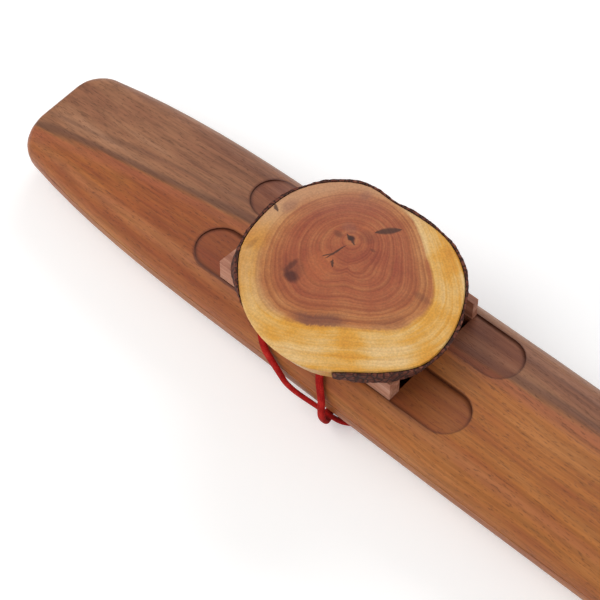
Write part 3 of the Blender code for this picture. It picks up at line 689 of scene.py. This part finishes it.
def red_suede():
    """The lace's red leather with its nap."""
    material, tree, shader, where = new_material("red_suede")
    nap = noise(tree, where, 2600.0, 3.0, 0.7)
    patches = noise(tree, where, 260.0, 3.0)
    mottle = plus(tree, times(tree, nap, 0.5), times(tree, patches, 0.5))
    colour = ramp(
        tree,
        mottle,
        [
            (0.32, (0.160, 0.002, 0.002)),
            (0.50, (0.390, 0.007, 0.006)),
            (0.68, (0.600, 0.035, 0.024)),
        ],
    )
    tree.links.new(colour, shader.inputs["Base Color"])
    shader.inputs["Roughness"].default_value = 0.92
    shader.inputs["Specular IOR Level"].default_value = 0.2
    shader.inputs["Sheen Weight"].default_value = 0.12
    shader.inputs["Sheen Tint"].default_value = (1.0, 0.25, 0.20, 1.0)
    bumped(tree, shader, nap, 0.6, 0.00020)
    return material


# Pieces
def only(obj):
    bpy.ops.object.select_all(action="DESELECT")
    obj.select_set(True)
    bpy.context.view_layer.objects.active = obj


def dressed(node, name, material, smooth_angle=32.0):
    """A welded and smoothed copy of a CAD node, which takes its place and rides with it."""
    source = frame["nodes"][node]
    piece = source.copy()
    piece.data = source.data.copy()
    for key in list(piece.keys()):
        del piece[key]
    piece.name = name
    piece.data.name = name
    piece.parent = None
    bpy.context.scene.collection.objects.link(piece)
    only(piece)
    bpy.ops.object.mode_set(mode="EDIT")
    bpy.ops.mesh.select_all(action="SELECT")
    bpy.ops.mesh.remove_doubles(threshold=0.000002)
    bpy.ops.mesh.tris_convert_to_quads()
    bpy.ops.object.mode_set(mode="OBJECT")
    if piece.data.has_custom_normals:
        bpy.ops.mesh.customdata_custom_splitnormals_clear()
    bpy.ops.object.shade_smooth_by_angle(angle=math.radians(smooth_angle))
    piece.data.materials.clear()
    piece.data.materials.append(material)
    body = next(b for b, members in frame["record"]["behaviour"]["bodies"].items() if node in members)
    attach(piece, body)
    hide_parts(node)
    return piece


def apply_modifier(piece, kind, **settings):
    only(piece)
    modifier = piece.modifiers.new(kind.lower(), kind)
    for key, value in settings.items():
        setattr(modifier, key, value)
    bpy.ops.object.modifier_apply(modifier=modifier.name)


def dress_body():
    walnut = oiled_walnut()
    dressed("body_top_half", "upper_body", walnut)
    dressed("body_bottom_half", "lower_body", walnut)


def dress_block():
    dressed("bird_block", "block", bare_block_wood(), 28.0)


def dress_slice():
    dressed("slice_wood", "branch_slice", varnished_slice())
    bark = dressed("slice_bark", "bark_band", rough_bark(), 60.0)
    apply_modifier(bark, "SUBSURF", levels=2, render_levels=2, subdivision_type="SIMPLE")
    furrows = bpy.data.textures.new("bark_furrows", "CLOUDS")
    furrows.noise_scale = 0.0016
    furrows.noise_depth = 3
    furrowed = {"texture": furrows, "strength": 0.0006, "mid_level": 0.55, "texture_coords": "LOCAL"}
    apply_modifier(bark, "DISPLACE", **furrowed)


def dress_lace():
    suede = red_suede()
    lace = dressed("lace", "suede_lace", suede, 60.0)
    apply_modifier(lace, "SUBSURF", levels=2, render_levels=2)
    bpy.ops.object.shade_smooth()
    knot = dressed("lace_knot", "suede_knot", suede, 60.0)
    apply_modifier(knot, "SUBSURF", levels=1, render_levels=1)
    bpy.ops.object.shade_smooth()


# Stage
def make_floor():
    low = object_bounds()[0]
    bpy.ops.object.select_all(action="DESELECT")
    bpy.ops.mesh.primitive_plane_add(size=6.0, location=(0.0, 0.0, low.z - 0.0002))
    floor = bpy.context.active_object
    floor.name = "floor"
    material = bpy.data.materials.new("pale_floor")
    material.use_nodes = True
    tree = material.node_tree
    shader = tree.nodes["Principled BSDF"]
    shader.inputs["Base Color"].default_value = (0.86, 0.86, 0.86, 1.0)
    shader.inputs["Roughness"].default_value = 0.9
    shader.inputs["Emission Color"].default_value = (1.0, 1.0, 1.0, 1.0)
    seen = any_ray(tree, "Is Camera Ray", "Is Glossy Ray", "Is Transmission Ray")
    tree.links.new(times(tree, seen, FLOOR_GLOW), shader.inputs["Emission Strength"])
    floor.data.materials.append(material)


def make_light(name, offset, size, watts, colour):
    data = bpy.data.lights.new(name, "AREA")
    data.shape = "RECTANGLE"
    data.size, data.size_y = size
    data.energy = watts
    data.color = colour
    lamp = bpy.data.objects.new(name, data)
    bpy.context.scene.collection.objects.link(lamp)
    lamp.location = LOOK_AT + Vector(offset)
    lamp.rotation_mode = "QUATERNION"
    lamp.rotation_quaternion = (-Vector(offset)).to_track_quat("-Z", "Y")


def make_lights():
    make_light("left_softbox", (-0.75, -0.75, 1.10), (1.3, 1.3), 14.0, (1.0, 0.98, 0.96))
    make_light("back_softbox", (-0.35, 1.25, 0.95), (1.2, 0.6), 9.0, (0.97, 0.98, 1.0))
    make_light("front_fill", (1.10, -0.70, 0.80), (0.9, 0.9), 3.5, (1.0, 1.0, 1.0))
    world = bpy.data.worlds.new("studio")
    world.use_nodes = True
    tree = world.node_tree
    background = tree.nodes["Background"]
    background.inputs["Color"].default_value = (1.0, 1.0, 1.0, 1.0)
    seen = any_ray(tree, "Is Camera Ray", "Is Transmission Ray")
    tree.links.new(ranged(tree, seen, 0.0, 1.0, WORLD_FILL, WORLD_SEEN), background.inputs["Strength"])
    bpy.context.scene.world = world


def make_camera():
    azimuth, elevation = math.radians(CAMERA_AZIMUTH), math.radians(CAMERA_ELEVATION)
    flat = math.cos(elevation)
    back = Vector((math.sin(azimuth) * flat, -math.cos(azimuth) * flat, math.sin(elevation)))
    data = bpy.data.cameras.new("camera")
    data.lens = CAMERA_LENS
    data.sensor_width = 36.0
    data.clip_start = 0.01
    camera = bpy.data.objects.new("camera", data)
    bpy.context.scene.collection.objects.link(camera)
    camera.location = LOOK_AT + back * CAMERA_DISTANCE
    camera.rotation_mode = "QUATERNION"
    camera.rotation_quaternion = (-back).to_track_quat("-Z", "Y")
    bpy.context.scene.camera = camera


dress_body()
dress_block()
dress_slice()
dress_lace()
make_floor()
make_lights()
make_camera()
bpy.context.scene.view_settings.view_transform = "Standard"
